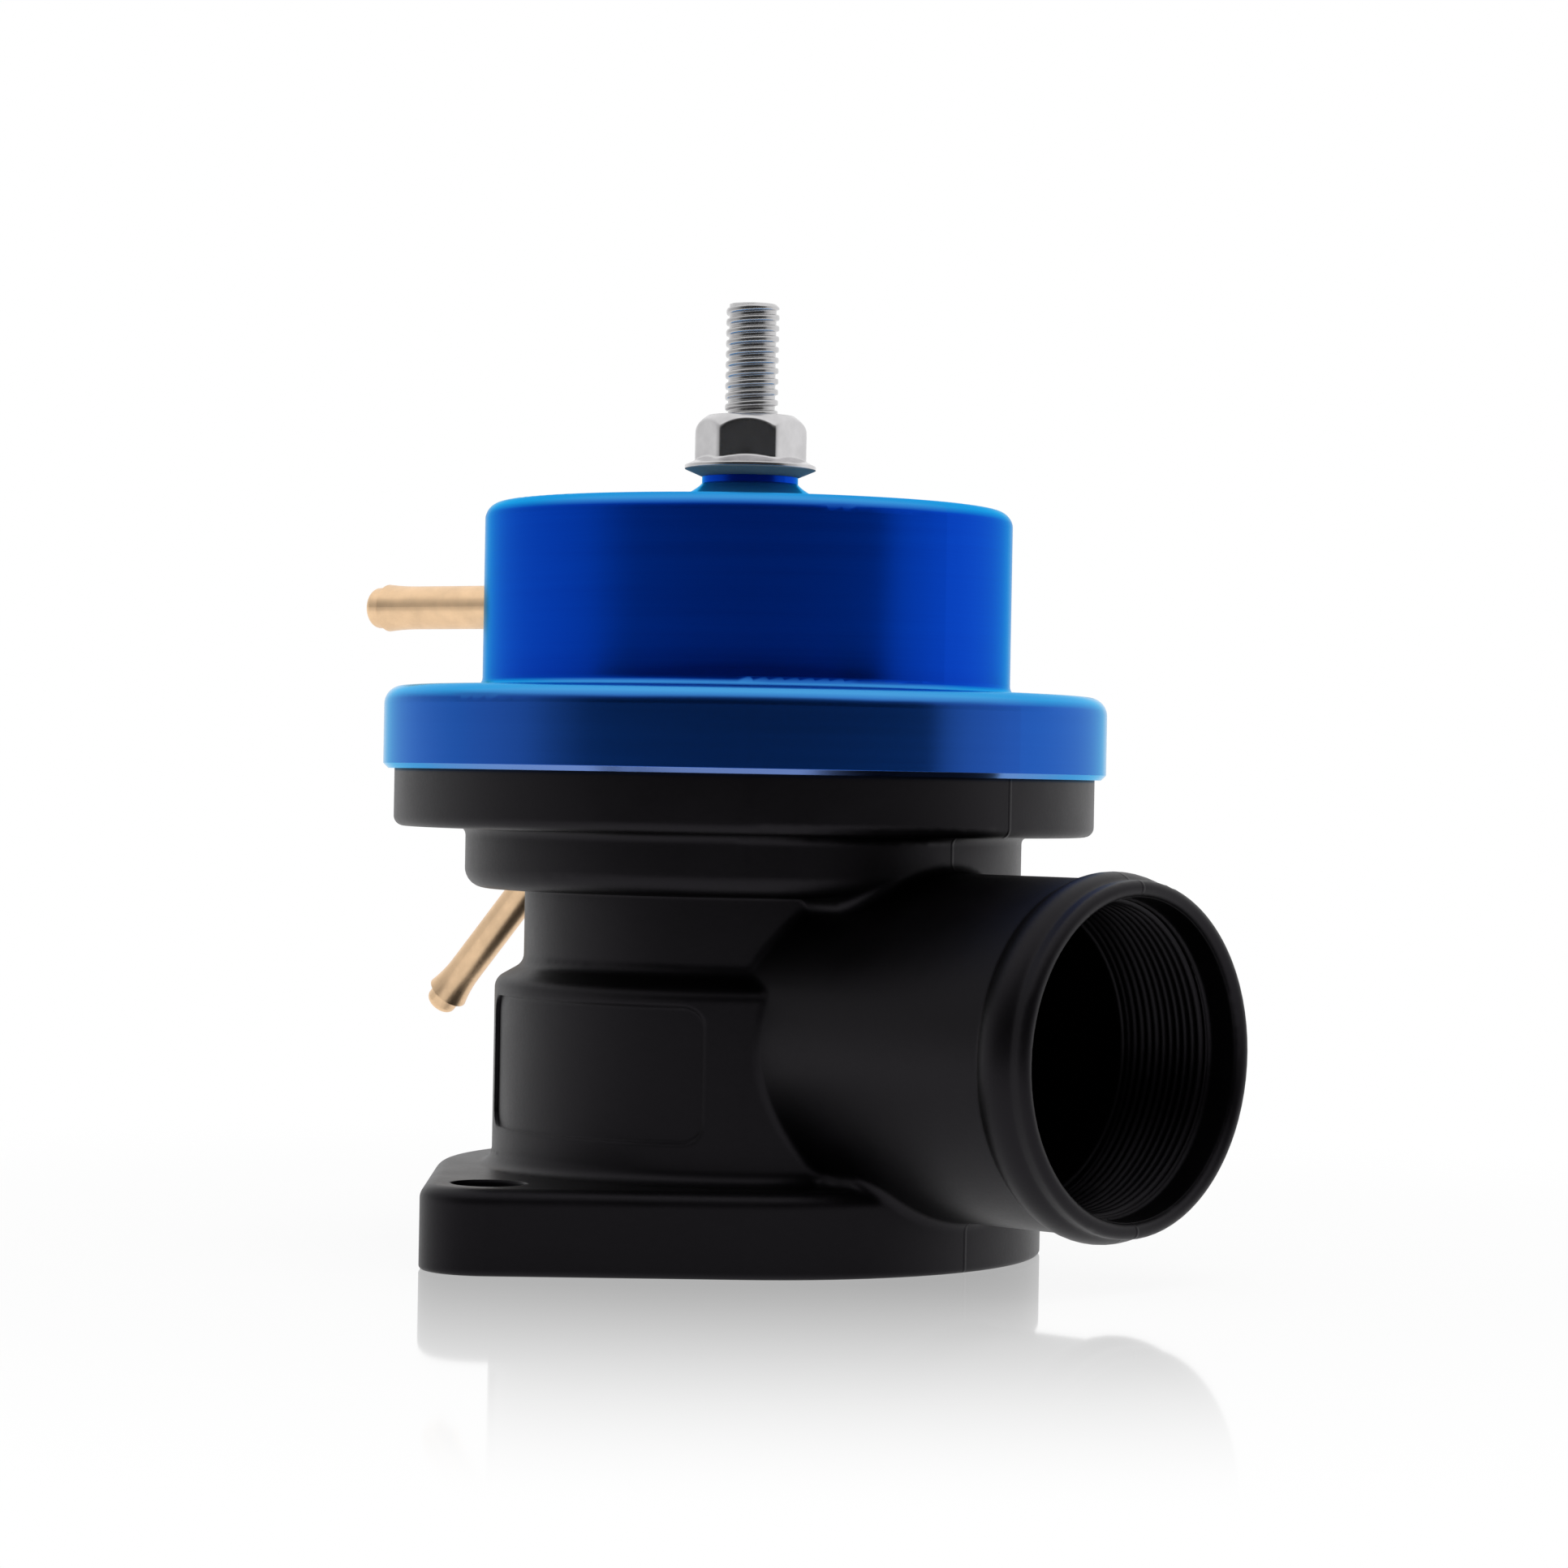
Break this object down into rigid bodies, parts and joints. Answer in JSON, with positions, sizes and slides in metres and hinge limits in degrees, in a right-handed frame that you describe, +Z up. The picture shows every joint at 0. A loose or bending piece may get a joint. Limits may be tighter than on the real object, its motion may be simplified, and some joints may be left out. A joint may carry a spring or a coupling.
{
  "type": "blow-off valve",
  "caption": "Diaphragm blow-off valve with a two-bolt base, beaded side outlet, blue spring cap and screw-adjusted spring load.",
  "frame": {"origin": "centre of the inlet in the base's mounting face", "axes": "+Z up along the valve stem, +X out of the side outlet, bolt holes on the Y axis"},
  "size_m": [0.1166, 0.0964, 0.1125],
  "materials": {
    "black_casting": "satin black coating on a fine-grained aluminium casting",
    "blue_anodised": "deep blue anodised, turned",
    "plain_aluminium": "machined",
    "bright_steel": "bright zinc plated steel",
    "stainless_steel": "ground",
    "spring_steel": "drawn wire, oiled",
    "black_screw": "black oxide",
    "brass": "turned brass",
    "bronze": "sintered bronze",
    "rubber": "moulded, matt"
  },
  "bodies": {
    "housing": {"valve_body": "black_casting", "top_cap": "blue_anodised", "cap_screws": "black_screw", "valve_seat_ring": "plain_aluminium", "seat_o_ring": "rubber", "base_o_ring": "rubber", "stem_bush": "bronze", "stem_seal": "rubber", "bush_circlip": "spring_steel", "diaphragm": "rubber", "outer_spring": "spring_steel", "inner_spring": "spring_steel", "upper_nipple": "brass", "lower_nipple": "brass"},
    "poppet_assembly": {"valve_stem": "stainless_steel", "poppet": "plain_aluminium", "poppet_seal": "rubber", "poppet_nut": "bright_steel", "lower_diaphragm_plate": "plain_aluminium", "upper_diaphragm_plate": "plain_aluminium", "stem_washer": "bright_steel", "stem_nut": "bright_steel"},
    "spring_seat": {"upper_spring_seat": "plain_aluminium"},
    "adjuster": {"adjusting_screw": "bright_steel"},
    "locking_nut": {"lock_nut": "bright_steel"}
  },
  "joints": [
    {"name": "valve_lift", "type": "slide", "parent": "housing", "child": "poppet_assembly", "axis": [0, 0, 1], "range_m": [0, 0.008], "stiffness_N_per_m": 1500, "springref_m": -0.001, "deforming": ["outer_spring", "inner_spring", "diaphragm"]},
    {"name": "adjuster_travel", "type": "slide", "parent": "housing", "child": "spring_seat", "axis": [0, 0, 1], "range_m": [-0.00508, 0.00127], "deforming": ["outer_spring", "inner_spring"]},
    {"name": "adjuster_turn", "type": "hinge", "parent": "spring_seat", "child": "adjuster", "pos_m": [0, 0, 0.09], "axis": [0, 0, 1], "range_deg": [-1441, 361]},
    {"name": "lock_nut_turn", "type": "hinge", "parent": "housing", "child": "locking_nut", "pos_m": [0, 0, 0.0955], "axis": [0, 0, 1], "range_deg": [0, 180]}
  ],
  "couplings": [
    {"joint": "adjuster_turn", "follows": "adjuster_travel", "rad_per_m": 4947.4}
  ]
}
